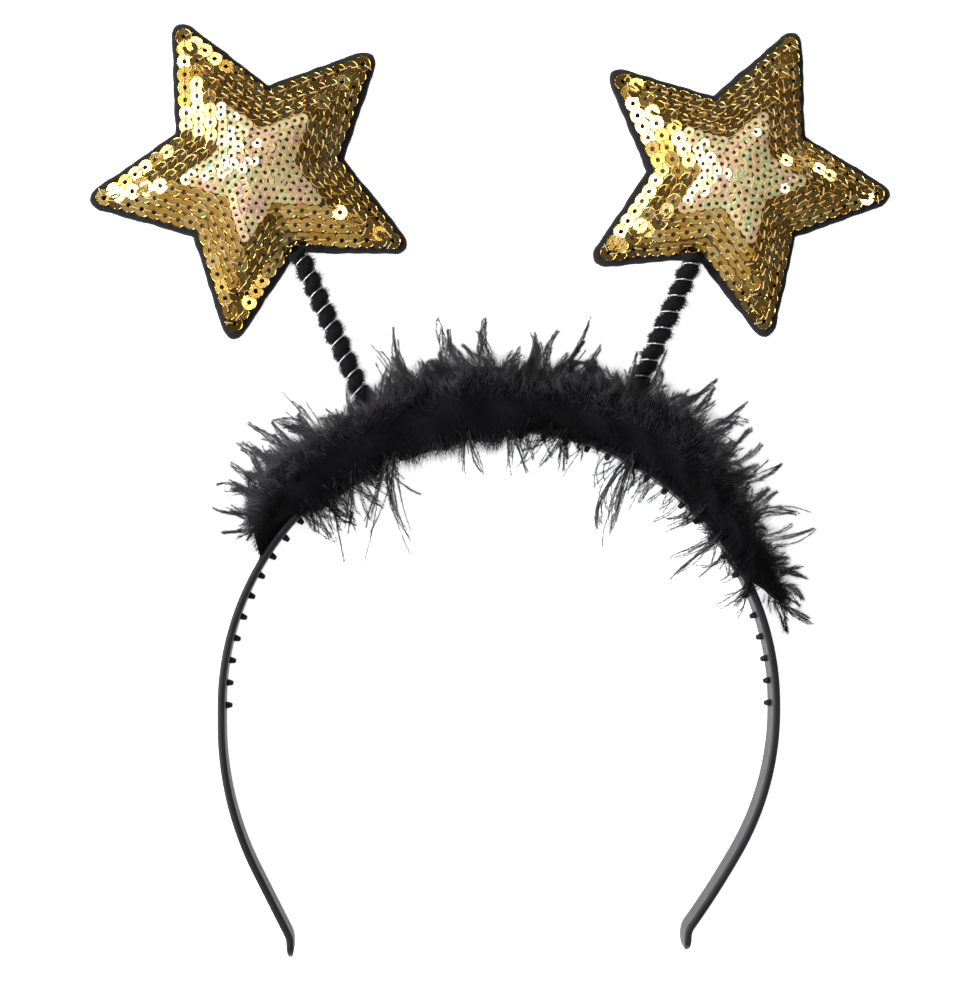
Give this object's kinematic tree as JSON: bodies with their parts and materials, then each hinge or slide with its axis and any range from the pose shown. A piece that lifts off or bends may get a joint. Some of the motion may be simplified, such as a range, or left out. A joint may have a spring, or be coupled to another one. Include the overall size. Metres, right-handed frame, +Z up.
{
  "type": "star bopper headband",
  "caption": "Toothed plastic hair band with a feather trim and padded sequin stars on chenille springs that sway and nod; worn on the head at parties.",
  "frame": {"origin": "middle of the base of the whole piece, on the surface that it lies on", "axes": "+Z up, the way the stars face; +Y from the band's feet to the stars; +X to the right as the picture shows it"},
  "size_m": [0.1962, 0.2272, 0.0222],
  "materials": {
    "band_plastic": "satin black moulded plastic",
    "marabou": "soft black feather down",
    "spring_wire": "bright drawn wire",
    "chenille": "short black pile",
    "felt": "pressed black felt",
    "pad_fabric": "thin dark backing cloth",
    "gold_sequins": "mirror gold sequins",
    "centre_sequins": "iridescent pale gold sequins"
  },
  "bodies": {
    "band": {"headband": "band_plastic", "feather_trim": "marabou"},
    "spring_left": {"spring_wire_left": "spring_wire", "chenille_left": "chenille"},
    "star_left": {"star_felt_left": "felt", "star_pad_left": "pad_fabric", "gold_sequins_left": "gold_sequins", "centre_sequins_left": "centre_sequins"},
    "spring_right": {"spring_wire_right": "spring_wire", "chenille_right": "chenille"},
    "star_right": {"star_felt_right": "felt", "star_pad_right": "pad_fabric", "gold_sequins_right": "gold_sequins", "centre_sequins_right": "centre_sequins"}
  },
  "joints": [
    {"name": "sway_left", "type": "hinge", "parent": "band", "child": "spring_left", "pos_m": [-0.0361, 0.0317, 0.0048], "axis": [0, 0, 1], "range_deg": [-20, 20], "stiffness_Nm_per_rad": 0.0135, "deforming": ["spring_wire_left", "chenille_left"]},
    {"name": "nod_left", "type": "hinge", "parent": "spring_left", "child": "star_left", "pos_m": [-0.04261, 0.04631, 0.0048], "axis": [0.9135, 0.4067, 0], "range_deg": [0, 25], "stiffness_Nm_per_rad": 0.0135, "deforming": ["spring_wire_left", "chenille_left"]},
    {"name": "sway_right", "type": "hinge", "parent": "band", "child": "spring_right", "pos_m": [0.03815, 0.03196, 0.0048], "axis": [0, 0, 1], "range_deg": [-20, 20], "stiffness_Nm_per_rad": 0.0135, "deforming": ["spring_wire_right", "chenille_right"]},
    {"name": "nod_right", "type": "hinge", "parent": "spring_right", "child": "star_right", "pos_m": [0.04455, 0.04662, 0.0048], "axis": [0.9164, -0.4004, 0], "range_deg": [0, 25], "stiffness_Nm_per_rad": 0.0135, "deforming": ["spring_wire_right", "chenille_right"]}
  ]
}
